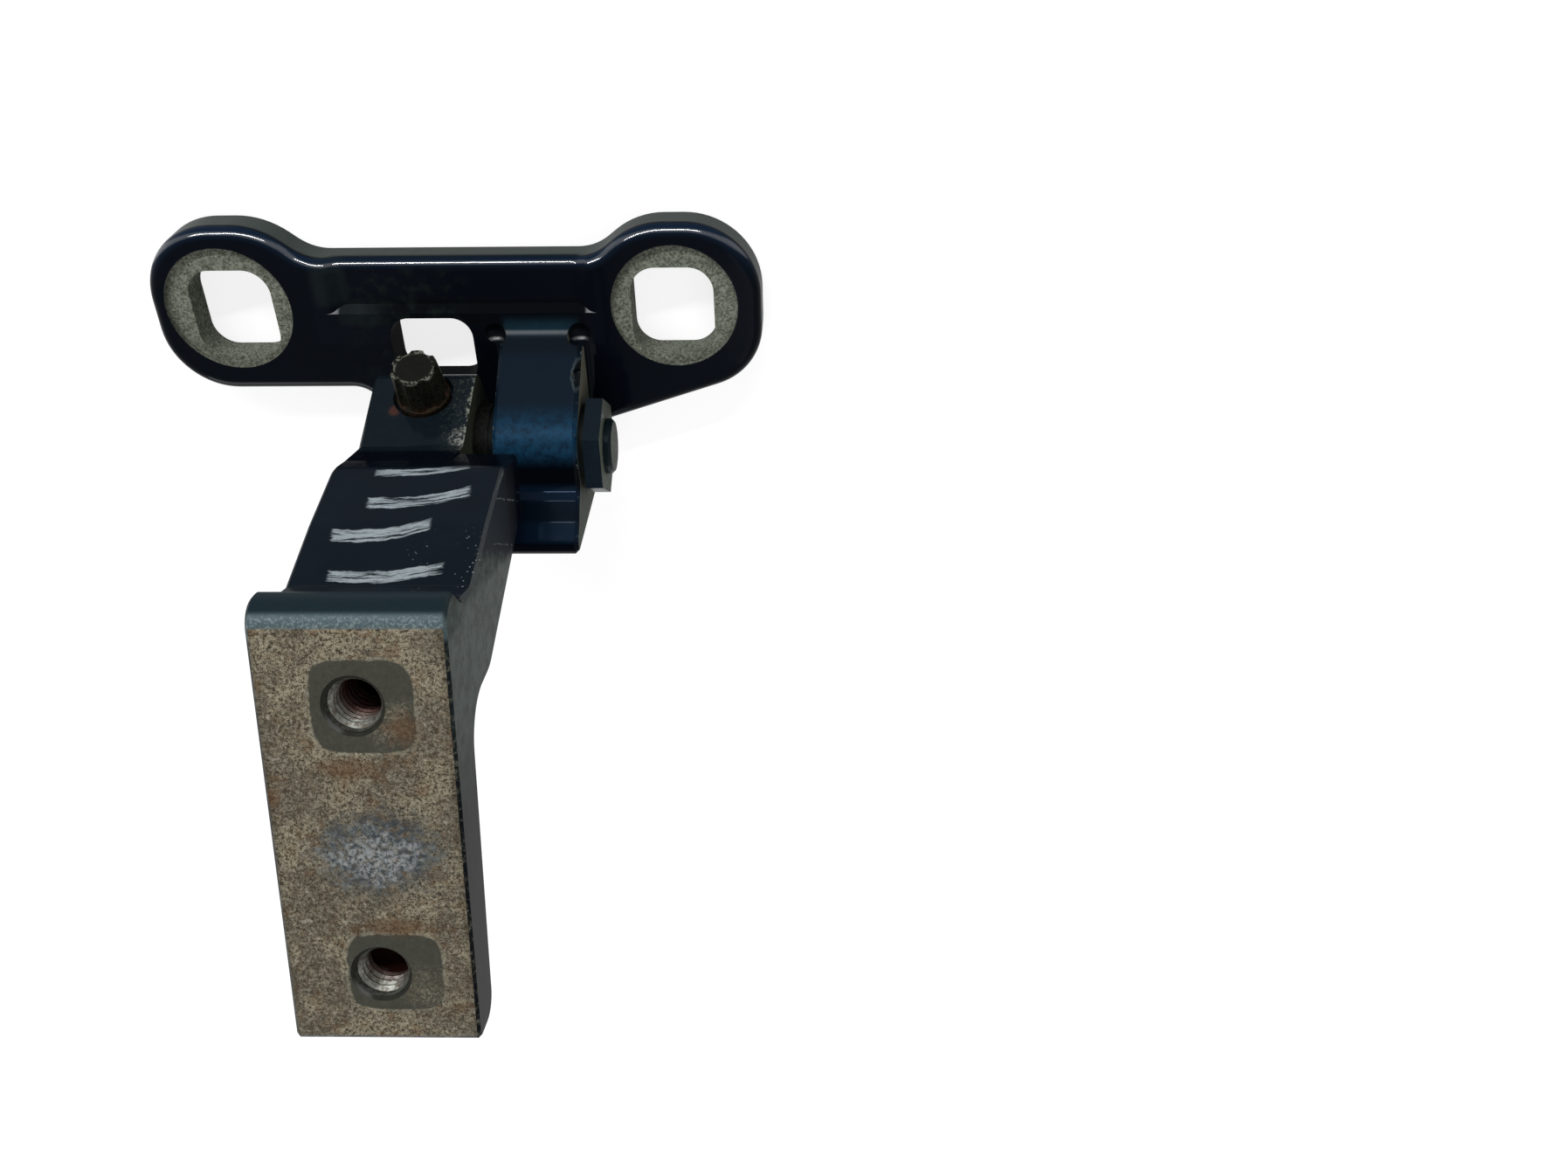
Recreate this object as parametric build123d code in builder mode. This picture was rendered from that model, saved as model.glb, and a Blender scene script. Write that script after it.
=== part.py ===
from build123d import *
import math
import os

# Car door hinge: a forged pillar plate with one lug, a forged door arm that swings
# on a hinge pin through that lug, and the small parts of the pin joint.
# Millimetres. X runs along the hinge pin, Y up the pillar plate and Z out of it;
# the plate's mounting face is Z = 0, and the origin is midway between its two holes.

os.makedirs("parts", exist_ok=True)

# Pillar plate
plate_thk = 7.0
plate_round = 2.4
ear_left, ear_right, ear_top, ear_bottom = -54.2, 55.5, 14.8, -16.1
ear_r, ear_top_r = 12.0, 13.5
band_top = 8.7
neck_left_out, neck_left_in = -32.5, -24.9
neck_right_in, neck_right_out = 25.9, 33.7
belly_left, belly_y = -13.0, -22.0
skirt_x, skirt_y, skirt_end_y = 24.0, -23.7, -13.1

# Square bolt holes in machined ring seats, and the middle square hole
hole_x, hole_y = 39.6, -1.3
hole_w, hole_h, hole_r = 14.8, 16.4, 4.5
seat_x, seat_d, seat_depth = 40.0, 22.6, 1.0
mid_x, mid_y, mid_w, mid_h, mid_r = -4.3, -8.2, 15.0, 12.6, 3.7

# Shallow recess in the upper band, open at the top
recess_depth = 1.3
recess_left, recess_right, recess_low = -18.5, 22.0, 0.4
recess_run, recess_low_run = 4.2, 1.4

# Lug: its nose is round about the pin, its foot is the opening stop
lug_left, lug_right = 8.3, 23.2
nose_r, ramp_lean = 9.0, 54.0
foot_low = -13.3
lug_edge, foot_r = 0.7, 1.3
ramp_root_r, root_r = 4.0, 2.0
root_top, root_end = -5.6, -19.4
dimple_r, dimple_y, dimple_left_x, dimple_right_x = 2.2, -4.7, 7.3, 22.7
nick_r, nick_w, nick_depth = 1.5, -2.5, 0.9

# Hinge pin; its hex just clears the plate, and so does the knuckle
pin_y, pin_d = -22.5, 10.0
hex_af, hex_thk = 16.0, 3.0
hex_clear, knuckle_clear = 0.7624, 0.5
hex_turn = 34.9
spigot_len = 1.4
pin_end_in = 1.2

# Bushes and thrust washer
bush_wall = 0.75
bush_flange_d = 15.0
bush_flange = 1.0
bush_len = 7.0
washer_d = 15.6
fit = 0.03
end_play = 0.1

# Door arm; p runs out from the pin, q down along the pad
open_deg = 18.0
arm_left, arm_width = -13.4, 28.0
knuckle_w = 18.1
flat_dist, flat_up, flat_down = 11.1, 8.6, 9.0
flat_lean = 49.7
pad_p, pad_top, pad_bottom = 67.0, 8.7, 78.0
pad_thk, pad_root_thk, lip_thk = 8.4, 10.0, 5.2
lip_r = 4.4
knuckle_tip_r, flat_root_r, arm_edge = 2.4, 1.5, 0.5
tap_q1, tap_q2 = 23.9, 66.5
tap_d, tap_mouth_d = 8.0, 9.2
tap_depth_1, tap_depth_2 = 19.0, 7.2

# Locking screw
screw_off, screw_up = 0.4, 2.7
screw_d, screw_well_d, screw_well_depth = 8.0, 10.6, 2.0
collar_d, collar_thk = 9.2, 2.6
lobe_out, flute_r, flute_out = 4.5, 1.6, 0.95
head_h, head_taper = 7.0, 0.9
notch_depth, notch_w, dog_d = 1.0, 6.4, 5.6

# Derived places
pin_z = plate_thk + hex_af / 2 / math.cos(math.pi / 6) + hex_clear
knuckle_r = pin_z - plate_thk - knuckle_clear
face_w = plate_thk - pin_z
root_run = ramp_root_r * math.tan(math.radians(ramp_lean / 2)) + 0.02
arm_right = arm_left + arm_width
arm_mid = arm_left + arm_width / 2
flat_p = math.cos(math.radians(flat_lean))
flat_q = -math.sin(math.radians(flat_lean))
knuckle_right = arm_left + knuckle_w
knuckle_mid = arm_left + knuckle_w / 2
screw_x = arm_left + knuckle_w / 2 + screw_off
bush_od = pin_d + 2 * bush_wall
bore_r = bush_od / 2
point_h = pin_d / 2 - notch_depth
hex_gap = bush_flange + fit
side = Plane.YZ
beyond = 2 * plate_thk + ear_top - ear_bottom


def arm_plane(x):
    """Plane across the hinge at x, with p and q of the arm as its two axes."""
    turn = math.radians(open_deg)
    return Plane(
        origin=(x, pin_y, pin_z),
        x_dir=(0, math.sin(turn), math.cos(turn)),
        z_dir=(1, 0, 0),
    )


def flat_point(along):
    """Point (p, q) on the knuckle's flat, along it from the foot of its normal."""
    return (
        flat_dist * flat_p - along * flat_q,
        flat_dist * flat_q + along * flat_p,
    )


def knuckle_point(degrees):
    """Point (p, q) on the knuckle's round back."""
    turn = math.radians(degrees)
    return (knuckle_r * math.cos(turn), knuckle_r * math.sin(turn))


def flat_plane(height, along=0.0):
    """Plane square to the locking screw, at this height above the pin axis."""
    turn = math.radians(open_deg)
    up = flat_p * math.sin(turn) - flat_q * math.cos(turn)
    out = flat_p * math.cos(turn) + flat_q * math.sin(turn)
    return Plane(
        origin=(screw_x, pin_y + height * up - along * out, pin_z + height * out + along * up),
        x_dir=(1, 0, 0),
        z_dir=(0, up, out),
    )


def pad_plane(down):
    """Plane on the pad's face at the middle of its width, this far down along q."""
    turn = math.radians(open_deg)
    rise, out = math.sin(turn), math.cos(turn)
    return Plane(
        origin=(arm_mid, pin_y + pad_p * rise - down * out, pin_z + pad_p * out + down * rise),
        x_dir=(1, 0, 0),
        z_dir=(0, rise, out),
    )


def ramp_v(w):
    """Height v of the lug's ramp, which is tangent to its nose, at the distance w."""
    lean = math.radians(ramp_lean)
    return (nose_r - w * math.cos(lean)) / math.sin(lean)


def lug_point(v, w):
    """Place in the lug's side view, from the pin axis: v up, w out."""
    return (pin_y + v, pin_z + w)


def edges_at(built, x):
    """Edges of a part that lie wholly in the plane across the hinge at x."""
    return [
        e
        for e in built.edges()
        if abs(e.bounding_box().min.X - x) + abs(e.bounding_box().max.X - x) < 0.01
    ]


# The pillar plate with its lug, one forging
with BuildSketch() as outline:
    with BuildLine():
        FilletPolyline(
            (ear_left, ear_top),
            (neck_left_out, ear_top),
            (neck_left_in, band_top),
            (neck_right_in, band_top),
            (neck_right_out, ear_top),
            (ear_right, ear_top),
            (ear_right, skirt_end_y),
            (skirt_x, skirt_y),
            (belly_left, belly_y),
            (belly_left - 6, ear_bottom),
            (ear_left, ear_bottom),
            radius=[ear_top_r, 14, 9, 9, 14, ear_top_r, ear_r, 3, 5, 5, ear_r],
            close=True,
        )
    make_face()

# full-depth lower part, cut away by a slope where the recess begins
with BuildPart() as lower_part:
    add(extrude(outline.sketch, amount=plate_thk, mode=Mode.PRIVATE))
    fillet(lower_part.faces().sort_by(Axis.Z)[-1].edges(), plate_round)
    with BuildSketch(side.offset(ear_left - 5)):
        with BuildLine():
            Polyline(
                (recess_low, -1),
                (recess_low, plate_thk - recess_depth),
                (recess_low - 2 * recess_low_run, plate_thk + recess_depth),
                (beyond, plate_thk + recess_depth),
                (beyond, -1),
                close=True,
            )
        make_face()
    extrude(amount=ear_right - ear_left + 10, mode=Mode.SUBTRACT)

with BuildPart() as plate:
    add(extrude(outline.sketch, amount=plate_thk, mode=Mode.PRIVATE))
    # recess across the band, with softly sloping ends
    with BuildSketch(Plane.XZ.offset(-beyond)):
        with BuildLine():
            Polyline(
                (recess_left - recess_run, plate_thk),
                (ear_left - 5, plate_thk),
                (ear_left - 5, -1),
                (ear_right + 5, -1),
                (ear_right + 5, plate_thk),
                (recess_right + recess_run, plate_thk),
            )
            Bezier(
                (recess_right + recess_run, plate_thk),
                (recess_right + recess_run / 2, plate_thk),
                (recess_right + recess_run / 2, plate_thk - recess_depth),
                (recess_right, plate_thk - recess_depth),
            )
            Line(
                (recess_right, plate_thk - recess_depth),
                (recess_left, plate_thk - recess_depth),
            )
            Bezier(
                (recess_left, plate_thk - recess_depth),
                (recess_left - recess_run / 2, plate_thk - recess_depth),
                (recess_left - recess_run / 2, plate_thk),
                (recess_left - recess_run, plate_thk),
            )
        make_face()
    extrude(amount=2 * beyond, mode=Mode.INTERSECT)
    walls = plate.faces().filter_by(lambda f: abs(f.normal_at().Z) < 0.01)
    floor_z = plate_thk - recess_depth
    fillet([e for e in walls.edges() if e.bounding_box().min.Z > floor_z - 0.01], plate_round)
    add(lower_part.part)
    # lug and stop foot
    with BuildSketch(side.offset(lug_left)):
        with BuildLine():
            FilletPolyline(
                lug_point(ramp_v(face_w - 3), -pin_z),
                lug_point(ramp_v(face_w - 3), face_w - 3),
                lug_point(ramp_v(nose_r), nose_r),
                lug_point(-3.4, 8.7),
                lug_point(-5.0, 10.8),
                lug_point(-7.9, 13.3),
                lug_point(-10.5, 16.2),
                lug_point(foot_low, 16.2),
                lug_point(foot_low, -pin_z),
                radius=[0, 0, nose_r - 0.01, 2.5, 1.2, 2.0, foot_r, foot_r, 0],
                close=True,
            )
        make_face()
    extrude(amount=lug_right - lug_left)
    rim = edges_at(plate, lug_left) + edges_at(plate, lug_right)
    chamfer([e for e in rim if e.bounding_box().min.Z > plate_thk + 0.05], lug_edge)
    # blends along the ramp's foot and both sides, with a dimple at each upper corner
    with BuildSketch(side.offset(lug_left + lug_edge)):
        with BuildLine():
            FilletPolyline(
                lug_point(ramp_v(face_w + 4), face_w + 4),
                lug_point(ramp_v(face_w), face_w),
                lug_point(ramp_v(face_w) + root_run, face_w),
                lug_point(ramp_v(face_w) + root_run, face_w - 2),
                lug_point(ramp_v(face_w) - 4.0, face_w - 2),
                radius=[0, ramp_root_r, 0, 0, 0],
                close=True,
            )
        make_face()
    extrude(amount=lug_right - lug_left - 2 * lug_edge)
    with BuildSketch(Plane.XZ.offset(-root_top)):
        for edge_x, way in ((lug_left, -1), (lug_right, 1)):
            with Locations((edge_x + way * root_r / 2, plate_thk + root_r / 2)):
                Rectangle(root_r, root_r)
            with Locations((edge_x + way * root_r, plate_thk + root_r)):
                Circle(root_r, mode=Mode.SUBTRACT)
    extrude(amount=root_top - root_end)
    for spot_x, way in ((dimple_left_x, -1), (dimple_right_x, 1)):
        spot = (spot_x, dimple_y, plate_thk + 1.2)
        with Locations(Plane(origin=spot, x_dir=(0, 0, 1), z_dir=(way, -1, 0))):
            Sphere(dimple_r, mode=Mode.SUBTRACT)
    # nick knocked into the right edge of the ramp
    spot = (lug_right, pin_y + ramp_v(nick_w), pin_z + nick_w)
    lean = math.radians(ramp_lean)
    with Locations(Plane(origin=spot, x_dir=(1, 0, 0), z_dir=(0, math.sin(lean), math.cos(lean)))):
        Cylinder(nick_r, 2 * nick_depth, mode=Mode.SUBTRACT)
    # pin bore
    with BuildSketch(side.offset(lug_left - 1)):
        with Locations((pin_y, pin_z)):
            Circle(bore_r)
    extrude(amount=lug_right - lug_left + 2, mode=Mode.SUBTRACT)
    # ring seats and square holes
    with BuildSketch(Plane.XY.offset(plate_thk)):
        with Locations((-seat_x, 0), (seat_x, 0)):
            Circle(seat_d / 2)
    extrude(amount=-seat_depth, mode=Mode.SUBTRACT)
    with BuildSketch(Plane.XY):
        with Locations((-hole_x, hole_y), (hole_x, hole_y)):
            RectangleRounded(hole_w, hole_h, hole_r)
        with Locations((mid_x, mid_y)):
            RectangleRounded(mid_w, mid_h, mid_r)
    extrude(amount=plate_thk, mode=Mode.SUBTRACT)

plate.part.label = "plate"
export_step(plate.part, "parts/plate.step")


# Hinge pin with its hex flange and end spigot
hex_x = lug_right + hex_gap
with BuildPart() as hinge_pin:
    with BuildSketch(side.offset(arm_left + pin_end_in)):
        with Locations((pin_y, pin_z)):
            Circle(pin_d / 2)
    extrude(amount=hex_x - arm_left - pin_end_in)
    chamfer(hinge_pin.edges().group_by(Axis.X)[0], 1.0)
    with BuildSketch(side.offset(hex_x)):
        with Locations((pin_y, pin_z)):
            RegularPolygon(
                hex_af / 2, 6, major_radius=False, rotation=90 - hex_turn
            )
    extrude(amount=hex_thk)
    with BuildSketch(side.offset(hex_x + hex_thk)):
        with Locations((pin_y, pin_z)):
            Circle(pin_d / 2)
    extrude(amount=spigot_len)
    chamfer(hinge_pin.edges().group_by(Axis.X)[-1], 0.5)
    # notch that the locking screw's point bears on
    with Locations(flat_plane(pin_d / 2)):
        Box(notch_w, pin_d + 1, 2 * notch_depth, mode=Mode.SUBTRACT)
hinge_pin.part.label = "hinge_pin"
export_step(hinge_pin.part, "parts/hinge_pin.step")


def bush(flange_x, way):
    """Flanged bush pressed into the lug from flange_x, its sleeve running way along X."""
    with BuildPart() as made:
        with BuildSketch(side.offset(flange_x)):
            with Locations((pin_y, pin_z)):
                Circle(bush_flange_d / 2)
        extrude(amount=-way * bush_flange)
        with BuildSketch(side.offset(flange_x)):
            with Locations((pin_y, pin_z)):
                Circle(bush_od / 2)
        extrude(amount=way * bush_len)
        with BuildSketch(side.offset(flange_x - way * 2 * bush_flange)):
            with Locations((pin_y, pin_z)):
                Circle(pin_d / 2 + fit)
        extrude(amount=way * (bush_len + 3 * bush_flange), mode=Mode.SUBTRACT)
    return made.part


# The two flanged bushes of the lug
inner_bush = bush(lug_left, 1)
inner_bush.label = "inner_bush"
export_step(inner_bush, "parts/inner_bush.step")
outer_bush = bush(lug_right, -1)
outer_bush.label = "outer_bush"
export_step(outer_bush, "parts/outer_bush.step")

# Thrust washer between the knuckle and the inner bush
washer_x = knuckle_right + end_play
with BuildPart() as thrust_washer:
    with BuildSketch(side.offset(washer_x)):
        with Locations((pin_y, pin_z)):
            Circle(washer_d / 2)
            Circle(pin_d / 2 + 3 * fit, mode=Mode.SUBTRACT)
    extrude(amount=lug_left - bush_flange - washer_x)
thrust_washer.part.label = "thrust_washer"
export_step(thrust_washer.part, "parts/thrust_washer.step")

# The door arm with its knuckle and pad, one forging
with BuildPart() as door_arm:
    with BuildSketch(arm_plane(arm_left)):
        with BuildLine():
            FilletPolyline(
                (pad_p, pad_top),
                (pad_p - lip_thk, pad_top),
                (58.6, 11.0),
                (51.6, 11.1),
                (39.8, 4.4),
                (27.4, -1.7),
                (16.9, -2.1),
                (16.2, 8.0),
                (45.0, 26.3),
                (pad_p - pad_root_thk, 28.3),
                (pad_p - pad_thk, pad_bottom),
                (pad_p, pad_bottom),
                radius=[lip_r, 1.5, 2.0, 1.5, 20.0, 6.0, 1.0, 1.5, 8.0, 8.0, 4.0, 1.2],
                close=True,
            )
        make_face()
    extrude(amount=arm_width)
    with BuildSketch(arm_plane(arm_left)):
        Circle(knuckle_r)
        with BuildLine():
            Polyline(
                flat_point(-flat_up),
                flat_point(flat_down),
                (24.0, -1.75),
                (24.0, 12.6),
                knuckle_point(98),
                knuckle_point(232),
                close=True,
            )
        make_face()
    extrude(amount=knuckle_w)
    # knuckle corners across the hinge, then the long outer edges
    for along, radius in ((-flat_up, knuckle_tip_r), (flat_down, flat_root_r)):
        spot = arm_plane(knuckle_mid).from_local_coords((*flat_point(along), 0))
        nearest = door_arm.edges().filter_by(Axis.X).sort_by(
            lambda e: (e.center().Y - spot.Y) ** 2 + (e.center().Z - spot.Z) ** 2
        )
        fillet(nearest[:1], radius)
    for x in (arm_left, arm_right):
        chamfer(edges_at(door_arm, x), arm_edge)
    # pin bore through the knuckle
    with BuildSketch(side.offset(arm_left - 1)):
        with Locations((pin_y, pin_z)):
            Circle(pin_d / 2 + fit)
    extrude(amount=knuckle_w + 2, mode=Mode.SUBTRACT)
    # well and hole of the locking screw
    with BuildSketch(flat_plane(flat_dist - screw_well_depth, -screw_up)):
        Circle(screw_well_d / 2)
    extrude(amount=screw_well_depth + 2, mode=Mode.SUBTRACT)
    with BuildSketch(flat_plane(point_h - 0.3, -screw_up)):
        Circle(screw_d / 2 + fit)
    extrude(amount=flat_dist, mode=Mode.SUBTRACT)
    # tapped holes of the pad, both blind
    for down, depth in ((tap_q1, tap_depth_1), (tap_q2, tap_depth_2)):
        with Locations(pad_plane(down)):
            CounterSinkHole(tap_d / 2, tap_mouth_d / 2, depth=depth)
door_arm.part.label = "door_arm"
export_step(door_arm.part, "parts/door_arm.step")

# Locking screw: six-lobed tapering head on a collar, its point in the pin's notch
seat_h = flat_dist - screw_well_depth
with BuildPart() as locking_screw:
    with BuildSketch(flat_plane(point_h, -screw_up)):
        Circle(dog_d / 2)
    extrude(amount=notch_depth + 1.0)
    with BuildSketch(flat_plane(point_h + notch_depth + 1.0, -screw_up)):
        Circle(screw_d / 2)
    extrude(amount=seat_h - point_h - notch_depth - 1.0)
    with BuildSketch(flat_plane(seat_h, -screw_up)):
        Circle(collar_d / 2)
    extrude(amount=collar_thk)
    chamfer(locking_screw.edges().sort_by(Axis((0, pin_y, pin_z), flat_plane(0).z_dir))[-1], 0.35)
    for height, scale_by in ((seat_h + collar_thk, 1.0), (flat_dist + head_h, head_taper)):
        with BuildSketch(flat_plane(height, -screw_up)):
            Circle(lobe_out * scale_by)
            with PolarLocations((lobe_out + flute_out) * scale_by, 6):
                Circle(flute_r * scale_by, mode=Mode.SUBTRACT)
    loft()
locking_screw.part.label = "locking_screw"
export_step(locking_screw.part, "parts/locking_screw.step")
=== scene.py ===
import math
import bpy
import bmesh
from mathutils import Matrix, Vector


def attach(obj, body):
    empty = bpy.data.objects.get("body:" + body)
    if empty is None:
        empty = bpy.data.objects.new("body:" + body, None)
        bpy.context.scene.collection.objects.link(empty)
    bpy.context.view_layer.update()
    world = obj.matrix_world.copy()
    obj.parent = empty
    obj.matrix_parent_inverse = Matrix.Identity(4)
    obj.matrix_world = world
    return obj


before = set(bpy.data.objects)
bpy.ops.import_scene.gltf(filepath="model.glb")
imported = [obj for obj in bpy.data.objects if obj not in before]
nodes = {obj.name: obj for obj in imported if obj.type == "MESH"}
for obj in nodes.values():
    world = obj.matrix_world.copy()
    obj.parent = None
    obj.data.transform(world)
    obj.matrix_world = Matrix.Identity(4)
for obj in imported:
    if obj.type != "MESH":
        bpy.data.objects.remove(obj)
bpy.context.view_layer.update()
MM = 0.001

# Sizes shared with the solids, in millimetres
PIN_Y, PIN_Z = -22.5, 17.0
OPEN_DEG = 18.0
PLATE_THK = 7.0
SEAT_X, SEAT_R = 40.0, 11.3
HOLE_X, HOLE_Y = -4.3, -8.2
LUG_LEFT, LUG_RIGHT = 8.3, 23.2
NICK_X, NICK_Y = 22.9, -9.6
PAD_P = 67.0
PAD_MID_X = 0.6
TAPS = (23.9, 66.5)
TAP_DEPTHS = (19.0, 7.2)
TAP_R = 4.0
THREAD_PITCH, THREAD_CREST_R, THREAD_START = 1.25, 3.36, 0.7
THREAD_DEPTHS = (13.6, 6.9)
# back wall of the neck in p and q: a straight slope, then a bend into the pad
BACK_P, BACK_Q, BACK_SLOPE = 49.0, 26.97, 0.17
ROOT_P, ROOT_BEND = 51.0, 0.1
FLAT_LEAN = 49.7
SCREW_X, SCREW_UP, SCREW_TOP = -3.95, -2.7, 18.1


class Look:
    """A procedural material; its methods add nodes and return their output sockets."""

    def __init__(self, name, roughness, metallic=0.0, specular=0.5):
        self.mat = bpy.data.materials.new(name)
        self.mat.use_nodes = True
        self.tree = self.mat.node_tree
        self.shader = self.tree.nodes["Principled BSDF"]
        self.shader.inputs["Roughness"].default_value = roughness
        self.shader.inputs["Metallic"].default_value = metallic
        self.shader.inputs["Specular IOR Level"].default_value = specular
        coords = self.add("ShaderNodeTexCoord")
        scaled = self.add("ShaderNodeVectorMath", operation="SCALE")
        self.tree.links.new(coords.outputs["Object"], scaled.inputs[0])
        scaled.inputs["Scale"].default_value = 1000.0
        self.pos = scaled.outputs[0]
        self.x, self.y, self.z = self.split(self.pos)
        self.nx, self.ny, self.nz = self.split(coords.outputs["Normal"])

    def add(self, kind, **settings):
        made = self.tree.nodes.new(kind)
        for key, value in settings.items():
            setattr(made, key, value)
        return made

    def put(self, socket, value):
        if isinstance(value, bpy.types.NodeSocket):
            self.tree.links.new(value, socket)
        else:
            socket.default_value = value

    def split(self, vector):
        made = self.add("ShaderNodeSeparateXYZ")
        self.put(made.inputs[0], vector)
        return made.outputs[0], made.outputs[1], made.outputs[2]

    def math(self, operation, *values, clamp=False):
        made = self.add("ShaderNodeMath", operation=operation, use_clamp=clamp)
        for socket, value in zip(made.inputs, values):
            self.put(socket, value)
        return made.outputs[0]

    def plus(self, a, b):
        return self.math("ADD", a, b)

    def minus(self, a, b):
        return self.math("SUBTRACT", a, b)

    def times(self, *values):
        out = values[0]
        for value in values[1:]:
            out = self.math("MULTIPLY", out, value)
        return out

    def most(self, *values):
        out = values[0]
        for value in values[1:]:
            out = self.math("MAXIMUM", out, value)
        return out

    def flip(self, value):
        return self.math("SUBTRACT", 1.0, value)

    def ease(self, value, low, high):
        """0 at low, 1 at high, smooth between; low may be the greater."""
        made = self.add("ShaderNodeMapRange", interpolation_type="SMOOTHSTEP")
        if low < high:
            limits = (low, high, 0.0, 1.0)
        else:
            limits = (high, low, 1.0, 0.0)
        self.put(made.inputs[0], value)
        for socket, limit in zip(made.inputs[1:5], limits):
            socket.default_value = limit
        return made.outputs[0]

    def band(self, value, low, high, soft):
        """1 between low and high, with soft edges."""
        return self.times(
            self.ease(value, low - soft, low + soft), self.ease(value, high + soft, high - soft)
        )

    def join(self, a, b, c=0.0):
        made = self.add("ShaderNodeCombineXYZ")
        for socket, value in zip(made.inputs, (a, b, c)):
            self.put(socket, value)
        return made.outputs[0]

    def noise(self, scale, detail=3.0, rough=0.55, warp=0.0, where=None):
        made = self.add("ShaderNodeTexNoise")
        self.put(made.inputs["Vector"], where or self.pos)
        made.inputs["Scale"].default_value = scale
        made.inputs["Detail"].default_value = detail
        made.inputs["Roughness"].default_value = rough
        made.inputs["Distortion"].default_value = warp
        return made.outputs["Fac"]

    def cells(self, scale, where=None):
        made = self.add("ShaderNodeTexVoronoi")
        self.put(made.inputs["Vector"], where or self.pos)
        made.inputs["Scale"].default_value = scale
        return made.outputs["Distance"]

    def mix(self, share, a, b):
        """Colour a where share is 0, colour b where it is 1."""
        made = self.add("ShaderNodeMix", data_type="RGBA")
        self.put(made.inputs[0], share)
        for socket, value in ((made.inputs[6], a), (made.inputs[7], b)):
            self.put(socket, value)
        return made.outputs[2]

    def blend(self, share, a, b):
        """Number a where share is 0, number b where it is 1."""
        made = self.add("ShaderNodeMix", data_type="FLOAT")
        self.put(made.inputs[0], share)
        self.put(made.inputs[2], a)
        self.put(made.inputs[3], b)
        return made.outputs[0]

    def span(self, across, down, x0, x1, y0, y1, soft):
        """A rectangle with soft edges in two coordinates."""
        return self.times(self.band(across, x0, x1, soft), self.band(down, y0, y1, soft))

    def blob(self, a, b, ca, cb, ra, rb, soft=0.35, ragged=0.0):
        """An ellipse about (ca, cb) with a soft and, if asked, ragged edge."""
        da = self.math("DIVIDE", self.minus(a, ca), ra)
        db = self.math("DIVIDE", self.minus(b, cb), rb)
        reach = self.math("SQRT", self.plus(self.times(da, da), self.times(db, db)))
        if ragged:
            reach = self.plus(reach, self.times(self.minus(self.noise(0.7, 5), 0.5), ragged))
        return self.ease(reach, 1 + soft, 1 - soft)

    def arm_axes(self):
        """Coordinates p, out from the pin, and q, down along the pad."""
        turn = math.radians(OPEN_DEG)
        y, z = self.minus(self.y, PIN_Y), self.minus(self.z, PIN_Z)
        p = self.plus(self.times(y, math.sin(turn)), self.times(z, math.cos(turn)))
        q = self.minus(self.times(z, math.sin(turn)), self.times(y, math.cos(turn)))
        return p, q

    def bump(self, height, depth, strength=1.0):
        """Height in 0 to 1, depth in millimetres."""
        made = self.add("ShaderNodeBump")
        made.inputs["Strength"].default_value = strength
        made.inputs["Distance"].default_value = depth * MM
        self.put(made.inputs["Height"], height)
        self.put(self.shader.inputs["Normal"], made.outputs[0])

    def finish(self, colour, roughness=None, metallic=None):
        self.put(self.shader.inputs["Base Color"], colour)
        if roughness is not None:
            self.put(self.shader.inputs["Roughness"], roughness)
        if metallic is not None:
            self.put(self.shader.inputs["Metallic"], metallic)
        return self.mat


def shade(r, g, b):
    """A colour written as 0 to 255 screen values, made linear."""
    def line(v):
        v /= 255
        return v / 12.92 if v <= 0.04045 else ((v + 0.055) / 1.055) ** 2.4
    return (line(r), line(g), line(b), 1.0)


# Shared finishes
NAVY = shade(4, 7, 13)
NAVY_LIGHT = shade(8, 14, 24)
# colours of painted sheen, for the plate's rounded edges and the lug's nose
NAVY_SHEEN = shade(14, 30, 48)
SHEEN_BLUE = shade(20, 54, 78)
GREY_GREEN = shade(84, 90, 82)
BARE = shade(132, 136, 124)
BARE_DARK = shade(78, 81, 71)
PIT_DARK = shade(12, 13, 11)


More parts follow.
